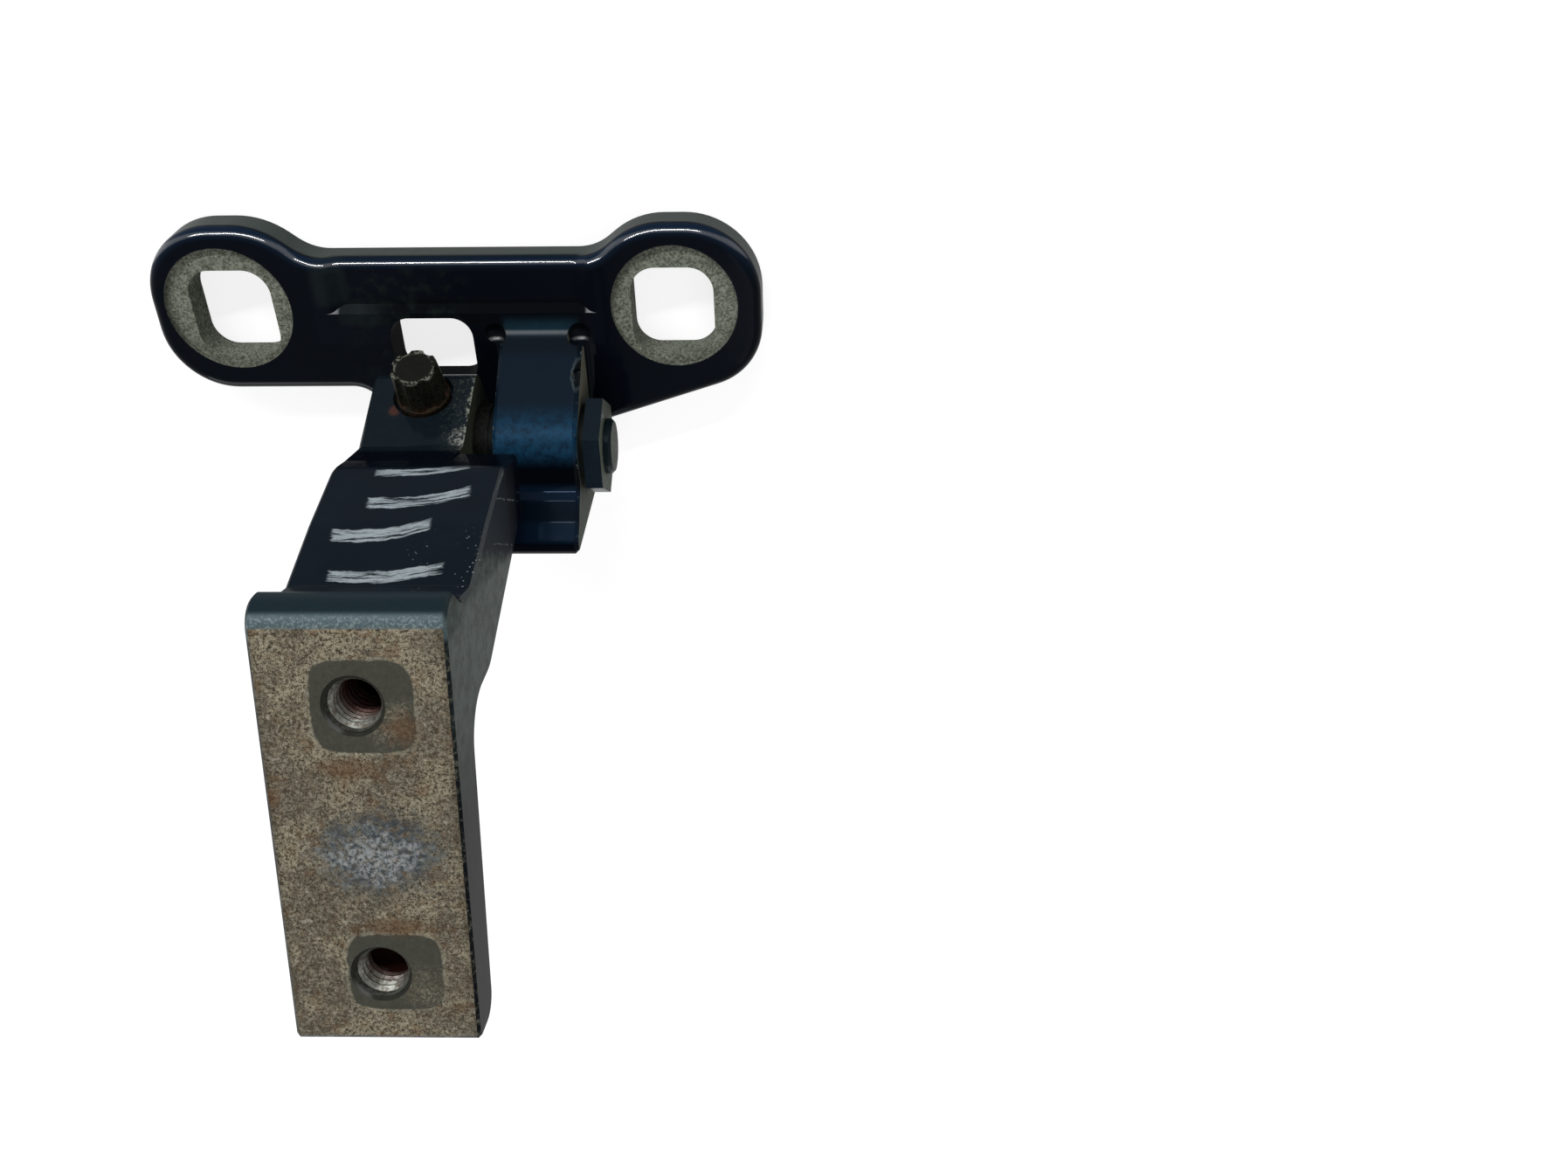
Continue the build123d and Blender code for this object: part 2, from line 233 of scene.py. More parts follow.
def plate_look():
    """Dark metallic paint of the pillar plate, bare in the bolt seats."""
    m = Look("plate_paint_look", 0.3, metallic=0.1, specular=0.03)
    fine = m.noise(3.0, 4)
    broad = m.noise(0.12, 3)
    body = m.mix(m.times(fine, 0.6), NAVY, NAVY_LIGHT)
    # painted sheen: rounded upper edges lighter blue where they face up
    band = m.span(m.x, m.y, -25.0, 27.0, -7.0, 7.0, 0.6)
    up = m.times(m.ease(m.ny, 0.05, 0.75), m.ease(m.nz, 0.15, 0.4), m.ease(m.z, 3.0, 5.5), m.flip(band))
    body = m.mix(up, body, NAVY_SHEEN)
    # painted reflection: upright edge round the plate paler
    inner = m.blob(m.x, m.y, HOLE_X, HOLE_Y, 9.5, 8.5, 0.1)
    rim = m.times(
        m.ease(m.math("ABSOLUTE", m.nz), 0.35, 0.05), m.ease(m.z, 5.2, 4.2), m.flip(inner)
    )
    body = m.mix(m.times(rim, m.blend(fine, 0.5, 0.9)), body, shade(66, 74, 70))
    # recess, its left slope and its lower step: painted highlight on the slope and the step's left end,
    # painted shade (near-black) along the rest of the step
    slope_highlight = m.span(m.x, m.y, -24.0, -18.5, 0.5, 8.5, 1.0)
    step_run = m.span(m.x, m.y, -20.5, 24.0, -3.2, 1.4, 0.4)
    step_highlight = m.times(step_run, m.ease(m.x, -9.0, -17.0))
    step_shade = m.times(step_run, m.ease(m.x, -17.0, -9.0))
    cloudy = m.blend(m.noise(0.9, 4), 0.4, 1.0)
    body = m.mix(m.times(m.most(slope_highlight, m.times(step_highlight, 0.5)), cloudy, 0.5), body, shade(32, 41, 41))
    # painted shade: near-black over the step's right part
    body = m.mix(m.times(step_shade, 0.9), body, shade(3, 5, 9))
    middle = m.span(m.x, m.y, -18.0, 2.0, -14.0, 8.0, 5.0)
    body = m.mix(m.times(middle, m.ease(m.noise(0.5, 5), 0.45, 0.7), 0.5), body, shade(22, 30, 28))
    # lug: slate ramp; painted sheen on the nose (bright blue); painted shade on the front below it
    # (near-black); painted highlight band on the foot
    v, w = m.minus(m.y, PIN_Y), m.minus(m.z, PIN_Z)
    lug = m.times(
        m.ease(m.z, PLATE_THK + 0.2, PLATE_THK + 1.2), m.band(m.x, LUG_LEFT - 0.1, LUG_RIGHT + 0.1, 0.1)
    )
    ramp = m.times(lug, m.ease(v, 2.0, 6.0))
    nose = m.times(lug, m.band(v, 2.0, 8.2, 2.0), m.ease(w, -1.5, 4.0))
    foot = m.times(lug, m.ease(w, 9.5, 11.0))
    body = m.mix(m.times(ramp, m.blend(m.noise(2.4, 5, 0.7), 0.45, 1.1)), body, shade(13, 23, 31))
    # painted shade: near-black front below the nose
    front_shade = m.times(lug, m.ease(v, 3.0, 1.0), m.ease(w, 9.5, 8.0))
    body = m.mix(m.times(front_shade, 0.85), body, shade(2, 3, 6))
    broken = m.blend(m.ease(m.noise(0.8, 5, 0.7), 0.3, 0.65), 0.25, 1.0)
    # painted sheen: bright blue on the nose
    body = m.mix(m.times(nose, broken), body, SHEEN_BLUE)
    # painted highlight: lighter band across the foot
    body = m.mix(m.times(foot, m.band(w, 10.8, 13.4, 0.6), 0.7), body, shade(10, 18, 25))
    # painted sheen: blue band along the lug's root
    root = m.times(m.band(m.y, -4.6, -1.8, 0.8), m.band(m.x, 9.0, 22.5, 1.0), m.ease(m.z, 6.9, 7.1))
    body = m.mix(m.times(root, m.blend(m.noise(0.8, 4), 0.3, 0.9)), body, shade(22, 46, 58))
    # side faces of lug and foot are dull and pale
    cheek = m.times(lug, m.ease(m.math("ABSOLUTE", m.nx), 0.8, 0.97), m.ease(m.nx, -0.5, 0.5))
    body = m.mix(m.times(cheek, m.blend(m.noise(0.5, 4), 0.6, 1.0)), body, GREY_GREEN)
    body = m.mix(m.times(cheek, m.ease(m.y, -17.0, -12.0)), body, shade(110, 108, 95))
    # darker in the two dimples
    for spot_x in (7.3, 22.7):
        body = m.mix(m.times(m.blob(m.x, m.y, spot_x, -4.7, 2.2, 2.0, 0.8, 0.6), 0.4), body, PIT_DARK)
    # small pale chips along the lug's edges and by its nick
    left_edge = m.ease(m.x, LUG_LEFT + 0.7, LUG_LEFT + 0.1)
    right_edge = m.ease(m.x, LUG_RIGHT - 0.7, LUG_RIGHT - 0.1)
    edge = m.times(lug, m.most(left_edge, right_edge))
    chips = m.times(m.ease(m.noise(1.1, 4), 0.6, 0.66), edge, m.flip(cheek))
    bite = m.blob(m.x, m.y, NICK_X, NICK_Y, 0.9, 1.6, 0.15, 0.5)
    bite_rim = m.times(m.blob(m.x, m.y, NICK_X, NICK_Y, 1.3, 2.0, 0.15, 0.6), m.flip(bite), lug)
    body = m.mix(m.times(m.most(chips, m.times(bite_rim, 0.5)), 0.55), body, shade(96, 110, 112))
    body = m.mix(m.times(bite, lug, m.flip(cheek), 0.8), body, PIT_DARK)
    # bare metal of ring seats and square holes
    across = m.minus(m.math("ABSOLUTE", m.x), SEAT_X)
    reach = m.math("SQRT", m.plus(m.times(across, across), m.times(m.y, m.y)))
    ragged = m.times(m.minus(m.noise(1.6, 4), 0.5), 0.25)
    seat = m.times(
        m.ease(m.plus(reach, ragged), SEAT_R + 0.12, SEAT_R - 0.02),
        m.ease(m.z, 0.05, 0.4),
        m.ease(m.z, PLATE_THK + 0.02, PLATE_THK - 0.05),
    )
    grains = m.noise(1.9, 6, 0.78)
    bare = m.mix(m.ease(grains, 0.4, 0.6), BARE_DARK, BARE)
    pits = m.times(m.ease(m.cells(1.7), 0.3, 0.18), m.ease(m.noise(0.7, 3), 0.42, 0.6))
    bare = m.mix(m.times(pits, 0.8), bare, shade(34, 34, 28))
    bare = m.mix(m.times(m.ease(m.noise(1.2, 3), 0.6, 0.7), 0.5), bare, shade(150, 150, 138))
    bare = m.mix(m.times(m.ease(m.noise(0.35, 4), 0.5, 0.7), 0.4), bare, shade(70, 72, 62))
    body = m.mix(seat, body, bare)
    # mounting face at the back: flat paint with witness marks round the holes
    back = m.ease(m.z, 0.3, 0.02)
    marks = m.times(m.ease(reach, 15.5, 14.0), m.ease(m.noise(0.7, 5, 0.7), 0.42, 0.6))
    flat_paint = m.mix(m.noise(1.1, 5, 0.7), shade(12, 16, 20), shade(26, 32, 36))
    flat_paint = m.mix(m.times(marks, 0.75), flat_paint, shade(92, 90, 80))
    body = m.mix(back, body, flat_paint)
    hole_wall = m.times(
        m.blob(m.x, m.y, HOLE_X, HOLE_Y, 9.5, 8.5, 0.1), m.ease(m.math("ABSOLUTE", m.nz), 0.5, 0.2)
    )
    body = m.mix(hole_wall, body, shade(5, 6, 8))
    dull = m.most(seat, back, hole_wall, step_shade, m.times(cheek, 0.8), m.times(rim, 0.5))
    rounded = m.times(
        m.band(m.ny, 0.5, 0.7, 0.06),
        m.ease(m.nz, 0.3, 0.5),
        m.flip(lug),
        m.flip(dull),
        m.flip(step_run),
        m.ease(m.z, 4.0, 5.0),
    )
    m.put(m.shader.inputs["Specular IOR Level"], m.blend(rounded, 0.03, 0.9))
    rough = m.blend(dull, m.blend(m.most(ramp, band), m.blend(broad, 0.08, 0.14), 0.42), 0.75)
    m.bump(m.blend(seat, m.times(broad, 0.3), grains), 0.14, 0.9)
    return m.finish(body, rough, m.blend(dull, 0.1, 0.0))


def stroke(m, u, v, cu, cv, angle, length, width, bend):
    """A dab of brush paint in the coordinates u and v, streaked along its run."""
    turn = math.radians(angle)
    du, dv = m.minus(u, cu), m.minus(v, cv)
    along = m.plus(m.times(du, math.cos(turn)), m.times(dv, math.sin(turn)))
    aside = m.minus(m.times(dv, math.cos(turn)), m.times(du, math.sin(turn)))
    aside = m.minus(aside, m.times(m.times(along, along), bend))
    wander = m.times(m.minus(m.noise(0.4, 3), 0.5), 1.0)
    aside = m.plus(aside, wander)
    streaks = m.noise(1.0, 5, 0.65, where=m.join(m.times(along, 0.16), m.times(aside, 3.0), cu))
    end = m.plus(m.math("ABSOLUTE", along), m.times(streaks, 3.0))
    body = m.times(
        m.ease(m.math("ABSOLUTE", aside), width, width * 0.8),
        m.ease(end, length / 2 + 1.7, length / 2 + 1.2),
    )
    return m.times(body, m.ease(streaks, 0.4, 0.52))


def scratch(m, a, b, a0, b0, a1, b1, width):
    """A thin ragged scratch between two points of the coordinates a and b."""
    length = math.hypot(a1 - a0, b1 - b0)
    ca, sa = (a1 - a0) / length, (b1 - b0) / length
    da, db = m.minus(a, a0), m.minus(b, b0)
    along = m.plus(m.times(da, ca), m.times(db, sa))
    aside = m.minus(m.times(db, ca), m.times(da, sa))
    aside = m.plus(aside, m.times(m.minus(m.noise(0.6, 3), 0.5), 0.7))
    thin = m.ease(m.math("ABSOLUTE", aside), width, width * 0.5)
    body = m.times(m.band(along, 0.0, length, 0.3), thin)
    return m.times(body, m.ease(m.noise(0.8, 4, 0.7), 0.48, 0.55))


def arm_look():
    """Paint of the door arm, worn to bare rusty metal on its pad."""
    m = Look("arm_paint_look", 0.3, metallic=0.1, specular=0.03)
    p, q = m.arm_axes()
    fine = m.noise(3.0, 4)
    broad = m.noise(0.15, 4)
    body = m.mix(m.times(fine, 0.6), NAVY, NAVY_LIGHT)
    # upper face of the neck: matte slate behind the gloss band by the knuckle
    top = m.times(m.ease(q, 13.5, 11.5), m.band(p, 26.5, 57.5, 1.0))
    body = m.mix(m.times(top, 0.9), body, m.mix(broad, shade(8, 16, 23), shade(14, 24, 33)))
    # knuckle: slate paint, greyer by the edge towards the lug
    knuckle = m.ease(p, 17.5, 15.5)
    body = m.mix(m.times(knuckle, m.blend(m.noise(0.7, 5), 0.5, 1.1)), body, shade(20, 29, 35))
    smear = m.times(
        knuckle,
        m.ease(m.plus(m.x, m.times(m.noise(0.6, 5), 6.0)), 1.0, 6.5),
        m.ease(m.noise(1.6, 6, 0.75), 0.5, 0.62),
    )
    body = m.mix(m.times(smear, m.ease(m.ny, 0.0, 0.5), 0.5), body, shade(74, 78, 70))
    worn = m.times(
        knuckle,
        m.ease(m.plus(m.x, m.times(m.minus(m.noise(0.9, 5), 0.5), 2.4)), 4.2, 4.6),
        m.ease(m.ny, 0.0, 0.5),
        m.ease(m.noise(1.0, 4, 0.7), 0.47, 0.54),
    )
    body = m.mix(m.times(worn, m.flip(m.ease(m.nx, 0.85, 0.97)), 0.8), body, shade(128, 132, 122))
    low_smudge = m.times(
        m.blob(m.x, p, 3.9, 12.4, 1.7, 1.4, 0.5, 1.4), m.ease(m.noise(1.8, 5, 0.75), 0.45, 0.58)
    )
    body = m.mix(m.times(low_smudge, m.ease(m.ny, 0.2, 0.5), 0.8), body, shade(140, 142, 136))
    # rust at the foot of the locking screw
    rust_spot = m.times(m.blob(m.x, p, -8.5, 7.9, 0.9, 0.8, 0.5, 0.9), knuckle, m.ease(q, -3.0, -4.5))
    body = m.mix(m.times(rust_spot, 0.7), body, shade(78, 48, 42))
    # lip: blue grey lighter than the paint, a painted reflection; along its crest, pale rubbed wear with
    # a painted highlight line and glints
    lip = m.times(m.ease(p, 58.0, 60.0), m.ease(q, 15.0, 13.4))
    body = m.mix(lip, body, m.mix(fine, shade(20, 32, 38), shade(27, 41, 47)))
    crest = m.times(m.ease(p, 65.9, 66.6), m.ease(q, 15.0, 13.4))
    body = m.mix(m.times(crest, 0.75), body, shade(84, 99, 103))
    wear_and_glint = m.ease(m.noise(2.4, 5, 0.75), 0.48, 0.6)
    body = m.mix(m.times(m.ease(p, 66.1, 66.8), crest, wear_and_glint, 0.45), body, shade(146, 160, 162))
    # side faces
    right = m.times(m.ease(m.nx, 0.6, 0.95), m.ease(p, 18.0, 22.0))
    start = m.plus(m.plus(p, m.times(q, 3.9)), m.times(m.minus(m.noise(0.5, 5, 0.7), 0.5), 26.0))
    pale_side = m.mix(m.ease(m.noise(0.35, 5, 0.7), 0.35, 0.65), shade(42, 50, 47), shade(72, 82, 78))
    low_side = m.mix(fine, shade(20, 22, 20), shade(30, 33, 29))
    pale_side = m.mix(m.ease(q, 22.0, 44.0), pale_side, low_side)
    body = m.mix(m.times(right, m.ease(start, 73.0, 82.0)), body, pale_side)
    nicks = m.times(right, m.ease(m.cells(0.32), 0.16, 0.1), m.ease(m.noise(0.3, 2), 0.5, 0.6))
    body = m.mix(m.times(nicks, 0.8), body, shade(10, 12, 13))
    cuts = m.most(
        scratch(m, p, q, 34.4, 1.7, 18.4, 5.9, 0.16),
        scratch(m, p, q, 27.4, -1.0, 39.4, 3.8, 0.14),
        scratch(m, p, q, 40.1, 7.6, 24.8, 11.9, 0.14),
    )
    body = m.mix(m.times(cuts, right, 0.75), body, shade(118, 126, 122))
    left = m.ease(m.nx, -0.6, -0.95)
    body = m.mix(m.times(left, 0.8), body, m.mix(m.noise(0.4, 5), shade(18, 24, 28), shade(40, 48, 48)))
    inner_side = m.times(knuckle, m.ease(m.nx, 0.6, 0.95))
    body = m.mix(m.times(inner_side, m.blend(m.noise(0.6, 4), 0.6, 1.0)), body, shade(76, 79, 66))
    under = m.times(m.ease(q, 20.0, 28.0), m.ease(p, 66.0, 60.0), m.flip(right), m.flip(left))
    body = m.mix(m.times(under, 0.8), body, m.mix(m.noise(0.5, 5), shade(14, 18, 20), shade(34, 40, 40)))
    # white brush marks on the neck, and fine spatter
    marks = 0.0
    for cu, cv, angle, length, width, bend in (
        (1.6, 28.2, -7.0, 15.0, 0.95, -0.012),
        (2.6, 35.0, -9.0, 16.0, 1.3, -0.016),
        (-1.6, 42.0, -8.0, 15.0, 1.3, -0.018),
        (1.0, 49.8, -5.0, 17.0, 1.15, -0.012),
    ):
        marks = m.most(marks, stroke(m, m.x, p, cu, cv, angle, length, width, bend))
    marks = m.times(marks, top)
    spatter = m.times(
        top,
        m.ease(m.cells(1.2), 0.2, 0.12),
        m.ease(m.noise(0.22, 3), 0.5, 0.62),
        m.ease(m.x, 2.0, 9.0),
        m.ease(p, 38.0, 46.0),
    )
    paint = m.most(marks, m.times(spatter, 0.8))
    body = m.mix(m.times(paint, 0.9), body, m.mix(fine, shade(122, 134, 140), shade(176, 186, 190)))
    # pad face: bare, stained metal
    face = m.ease(p, PAD_P - 0.06, PAD_P - 0.02)
    worn_edge = m.times(
        m.ease(p, PAD_P - 0.7, PAD_P - 0.35),
        m.flip(face),
        m.flip(lip),
        m.ease(m.noise(0.95, 6, 0.75), 0.5, 0.62),
    )
    grain = m.blend(0.4, m.noise(2.0, 7, 0.82), m.noise(5.5, 5, 0.75))
    cloud = m.noise(0.16, 4)
    veins = m.ease(m.math("ABSOLUTE", m.minus(m.noise(0.5, 5, 0.7, 0.6), 0.5)), 0.05, 0.0)
    pad = m.mix(m.ease(grain, 0.44, 0.56), shade(52, 46, 37), shade(158, 150, 129))
    pad = m.mix(m.times(m.ease(cloud, 0.42, 0.6), 0.4), pad, shade(84, 82, 74))
    rusty = m.times(m.ease(m.noise(0.36, 6, 0.72), 0.5, 0.64), m.ease(grain, 0.3, 0.6))
    pad = m.mix(m.times(rusty, 0.6), pad, shade(104, 76, 50))
    pad = m.mix(m.times(veins, m.ease(cloud, 0.4, 0.55), 0.6), pad, shade(52, 40, 30))
    pad = m.mix(m.times(m.ease(m.noise(1.1, 4), 0.62, 0.7), 0.6), pad, shade(168, 162, 146))
    pad_sides = m.most(m.ease(m.x, 12.4, 14.4), m.ease(m.x, -11.6, -13.2))
    side_dirt = m.times(pad_sides, m.blend(m.noise(0.4, 4), 0.2, 1.0))
    pad = m.mix(m.times(side_dirt, 0.6), pad, shade(46, 40, 32))
    # cleaner prints of the nuts round the two taps
    for cx, cq, half_x, half_q in ((1.9, 24.0, 7.3, 6.9), (2.8, 66.2, 7.0, 6.3)):
        dx = m.math("DIVIDE", m.math("ABSOLUTE", m.minus(m.x, cx)), half_x)
        dq = m.math("DIVIDE", m.math("ABSOLUTE", m.minus(q, cq)), half_q)
        bow = m.plus(m.math("POWER", dx, 4.5), m.math("POWER", dq, 4.5))
        bow = m.plus(bow, m.times(m.minus(m.noise(0.7, 5), 0.5), 0.45))
        inside_print = m.ease(bow, 1.1, 0.95)
        spot = m.blob(m.x, q, cx + 4.2, cq + 2.6, 3.6, 3.0, 0.6, 1.2)
        stain = m.times(spot, m.ease(grain, 0.4, 0.6), 0.7)
        print_tone = m.mix(m.noise(1.2, 4), shade(54, 55, 49), shade(74, 75, 67))
        pad = m.mix(m.times(inside_print, m.flip(stain), 0.95), pad, print_tone)
        outline = m.times(m.band(bow, 1.0, 1.35, 0.12), m.ease(m.noise(0.9, 4), 0.45, 0.6))
        pad = m.mix(m.times(outline, 0.5), pad, shade(138, 136, 122))
    # blue-dark wear patch with whitish heart
    patch = m.blob(m.x, q, 2.4, 46.6, 8.8, 6.4, 0.4, 1.2)
    pad = m.mix(m.times(patch, m.ease(m.noise(1.0, 6, 0.75), 0.36, 0.56), 0.9), pad, shade(50, 60, 68))
    heart = m.blob(m.x, q, 1.6, 47.4, 6.0, 3.8, 0.6, 2.6)
    pad = m.mix(m.times(heart, m.ease(m.noise(1.3, 6, 0.8), 0.42, 0.58), 0.9), pad, shade(150, 154, 154))
    rust_stains = (
        (-12.4, 37.9, 1.1, 1.5),
        (-1.0, 33.4, 4.2, 1.6),
        (7.4, 27.4, 2.2, 2.2),
        (4.0, 58.6, 5.0, 1.4),
    )
    for ca, cb, ra, rb in rust_stains:
        stained = m.times(m.blob(m.x, q, ca, cb, ra, rb, 0.6, 1.4), m.ease(grain, 0.3, 0.55), 0.6)
        pad = m.mix(stained, pad, shade(88, 58, 34))
    body = m.mix(m.times(worn_edge, 0.6), body, shade(104, 104, 92))
    body = m.mix(face, body, pad)
    # inside the taps: brown oxide on steel
    inside = 0.0
    for cq, depth in zip(TAPS, TAP_DEPTHS):
        dx, dq = m.minus(m.x, PAD_MID_X), m.minus(q, cq)
        bore = m.math("SQRT", m.plus(m.times(dx, dx), m.times(dq, dq)))
        held = m.band(p, PAD_P - depth - 0.2, PAD_P - 0.07, 0.04)
        mouth = m.times(m.ease(bore, 4.75, 4.6), m.ease(p, 65.6, 65.8))
        inside = m.most(inside, m.times(m.most(mouth, m.ease(bore, TAP_R + 0.03, TAP_R + 0.005)), held))
    deep = m.ease(p, 66.0, 62.0)
    tap_tone = m.mix(m.noise(1.0, 4), shade(30, 30, 27), shade(58, 58, 52))
    deep_tone = m.mix(m.noise(0.8, 4), shade(24, 11, 9), shade(52, 26, 20))
    body = m.mix(inside, body, m.mix(deep, tap_tone, deep_tone))
    dull_sides = m.most(m.times(right, 0.5), m.times(left, 0.5), m.times(under, 0.6))
    dull = m.most(face, inside, dull_sides, m.times(paint, 0.8))
    rough = m.blend(dull, m.blend(m.most(top, lip), m.blend(broad, 0.08, 0.14), 0.4), 0.75)
    rounded = m.times(
        m.band(m.nx, 0.35, 0.7, 0.1), m.ease(m.ny, 0.3, 0.5), m.ease(p, 19.0, 22.0), m.flip(lip)
    )
    m.put(m.shader.inputs["Specular IOR Level"], m.blend(rounded, 0.03, 0.9))
    height = m.blend(face, m.times(broad, 0.3), m.plus(m.times(grain, 0.7), m.times(patch, 0.2)))
    m.bump(m.plus(height, m.times(paint, 0.3)), 0.18, 0.9)
    return m.finish(body, rough, m.blend(dull, 0.1, 0.0))


def pin_look():
    """Painted hex pin: navy flats, pale worn rim and end."""
    m = Look("pin_paint_look", 0.34, metallic=0.1, specular=0.05)
    v, w = m.minus(m.y, PIN_Y), m.minus(m.z, PIN_Z)
    reach = m.math("SQRT", m.plus(m.times(v, v), m.times(w, w)))
    fine = m.noise(2.0, 5)
    body = m.mix(fine, shade(10, 18, 26), shade(20, 32, 40))
    end = m.ease(m.nx, 0.7, 0.95)
    worn = m.times(end, m.ease(m.noise(0.9, 5, 0.7), 0.3, 0.5))
    body = m.mix(m.times(worn, 0.9), body, m.mix(fine, shade(62, 68, 60), shade(92, 98, 88)))
    body = m.mix(m.times(m.ease(reach, 5.4, 4.9), m.flip(end)), body, shade(14, 26, 30))
    hidden = m.ease(m.x, LUG_RIGHT + 0.3, LUG_RIGHT - 0.2)
    body = m.mix(hidden, body, m.mix(fine, shade(86, 86, 82), shade(124, 124, 118)))
    m.bump(fine, 0.05)
    return m.finish(body, m.blend(worn, 0.3, 0.65), m.blend(hidden, 0.1, 0.9))


def bush_look():
    """Bronze bushes whose flange rims are near-black, painted shade of the gap they sit in."""
    m = Look("bush_metal_look", 0.45, metallic=0.3, specular=0.05)
    grain = m.noise(2.5, 5, 0.7)
    v, w = m.minus(m.y, PIN_Y), m.minus(m.z, PIN_Z)
    reach = m.math("SQRT", m.plus(m.times(v, v), m.times(w, w)))
    body = m.mix(m.ease(grain, 0.35, 0.65), shade(70, 54, 34), shade(124, 100, 64))
    # painted shade: flange rim near-black like the gap
    flange_gap_shade = m.ease(reach, 6.2, 6.8)
    body = m.mix(flange_gap_shade, body, m.mix(grain, shade(4, 5, 6), shade(14, 16, 15)))
    m.bump(grain, 0.04)
    return m.finish(body, m.blend(grain, 0.35, 0.6))


def washer_look():
    """Steel thrust washer, near-black at its rim as painted shade of the gap."""
    m = Look("washer_steel_look", 0.4, metallic=0.2, specular=0.05)
    v, w = m.minus(m.y, PIN_Y), m.minus(m.z, PIN_Z)
    reach = m.math("SQRT", m.plus(m.times(v, v), m.times(w, w)))
    turned = m.noise(1.0, 2, where=m.join(m.times(reach, 9.0), 0.0))
    grain = m.noise(1.4, 5, 0.7)
    body = m.mix(turned, shade(70, 72, 72), shade(110, 112, 108))
    rim_shade_tone = m.mix(m.ease(grain, 0.4, 0.6), shade(4, 5, 5), shade(18, 19, 16))
    # painted shade: rim near-black like the gap
    body = m.mix(m.ease(reach, 7.2, 7.6), body, rim_shade_tone)
    m.bump(grain, 0.06)
    return m.finish(body, m.blend(turned, 0.4, 0.6))


def screw_look():
    """Blackened locking screw, rubbed pale along its top edges and rusty at its foot."""
    m = Look("screw_steel_look", 0.42, metallic=0.1, specular=0.04)
    lean, turn = math.radians(FLAT_LEAN), math.radians(OPEN_DEG)
    up, out = math.sin(lean + turn), math.cos(lean + turn)
    y, z = m.minus(m.y, PIN_Y), m.minus(m.z, PIN_Z)
    height = m.plus(m.times(y, up), m.times(z, out))
    grain = m.noise(1.8, 5, 0.7)
    body = m.mix(m.ease(grain, 0.35, 0.65), shade(14, 15, 12), shade(38, 38, 30))
    cap = m.ease(height, SCREW_TOP - 0.15, SCREW_TOP - 0.02)
    side = m.minus(m.times(z, up), m.times(y, out))
    off_x = m.minus(m.x, SCREW_X)
    off_s = m.minus(side, SCREW_UP)
    reach = m.math("SQRT", m.plus(m.times(off_x, off_x), m.times(off_s, off_s)))
    rim = m.times(
        m.ease(height, SCREW_TOP - 0.35, SCREW_TOP - 0.1),
        m.ease(reach, 3.0, 3.4),
        m.ease(m.noise(1.3, 4), 0.48, 0.56),
    )
    body = m.mix(m.times(cap, 0.9), body, m.mix(grain, shade(8, 8, 7), shade(22, 22, 19)))
    body = m.mix(m.times(rim, 0.8), body, shade(104, 106, 96))
    foot = m.times(m.ease(height, 13.6, 11.6), m.ease(m.noise(0.8, 5), 0.42, 0.6))
    body = m.mix(m.times(foot, 0.7), body, shade(62, 44, 34))
    m.bump(grain, 0.1)
    return m.finish(body, m.blend(grain, 0.35, 0.6), 0.1)


def dress(node, material):
    """Gives a node of the solids its finish."""
    for held in nodes[node].material_slots:
        held.material = material
    if not nodes[node].material_slots:
        nodes[node].data.materials.append(material)


dress("plate", plate_look())
dress("door_arm", arm_look())
dress("hinge_pin", pin_look())
bush_metal = bush_look()
dress("inner_bush", bush_metal)
dress("outer_bush", bush_metal)
dress("thrust_washer", washer_look())
dress("locking_screw", screw_look())


def pad_frame(q):
    """Axes of a tap: X across, Y down the pad, Z out of it, from the mouth of the tap at q."""
    turn = math.radians(OPEN_DEG)
    out = Vector((0, math.sin(turn), math.cos(turn)))
    down = Vector((0, -math.cos(turn), math.sin(turn)))
    origin = Vector((PAD_MID_X, PIN_Y, PIN_Z)) + PAD_P * out + q * down
    rows = Matrix((Vector((-1, 0, 0)), down, out)).transposed().to_4x4()
    return Matrix.Translation(origin * MM) @ rows @ Matrix.Scale(MM, 4)


def thread(name, q, start, depth):
    """Ridges of a screw thread on the wall of a tap, as one swept triangle section."""
    steps = 40
    turns = (depth - start) / THREAD_PITCH
    root = TAP_R - 0.01
    section = ((root, -0.5), (THREAD_CREST_R, -0.09), (THREAD_CREST_R, 0.09), (root, 0.5))
    built = bmesh.new()
    rings = []
    count = int(turns * steps)
    for i in range(count + 1):
        angle = 2 * math.pi * i / steps
        low = -start - THREAD_PITCH * i / steps
        fade = min(1.0, i / steps, (count - i) / steps)
        ring = []
        for radius, rise in section:
            r = root - (root - radius) * fade
            spot = (r * math.cos(angle), r * math.sin(angle), low + rise * THREAD_PITCH)
            ring.append(built.verts.new(spot))
        rings.append(ring)
    for a, b in zip(rings, rings[1:]):
        for k in range(3):
            built.faces.new((a[k], a[k + 1], b[k + 1], b[k]))
    mesh = bpy.data.meshes.new(name)
    built.normal_update()
    built.to_mesh(mesh)
    built.free()
    mesh.transform(pad_frame(q))
    piece = bpy.data.objects.new(name, mesh)
    bpy.context.scene.collection.objects.link(piece)
    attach(piece, "door_side")
    return piece


def thread_look():
    """Cut steel threads, grey near the mouth and brown with oxide deeper in."""
    m = Look("thread_steel_look", 0.4, metallic=0.5, specular=0.3)
    grain = m.noise(1.4, 4)
    p = m.arm_axes()[0]
    body = m.mix(m.ease(grain, 0.4, 0.65), shade(106, 108, 102), shade(72, 66, 58))
    body = m.mix(m.ease(p, 65.0, 60.0), body, shade(56, 32, 26))
    m.bump(grain, 0.05)
    return m.finish(body, m.blend(grain, 0.22, 0.5))


thread_steel = thread_look()
for name, q, depth in zip(("upper_thread", "lower_thread"), TAPS, THREAD_DEPTHS):
    thread(name, q, THREAD_START, depth).data.materials.append(thread_steel)


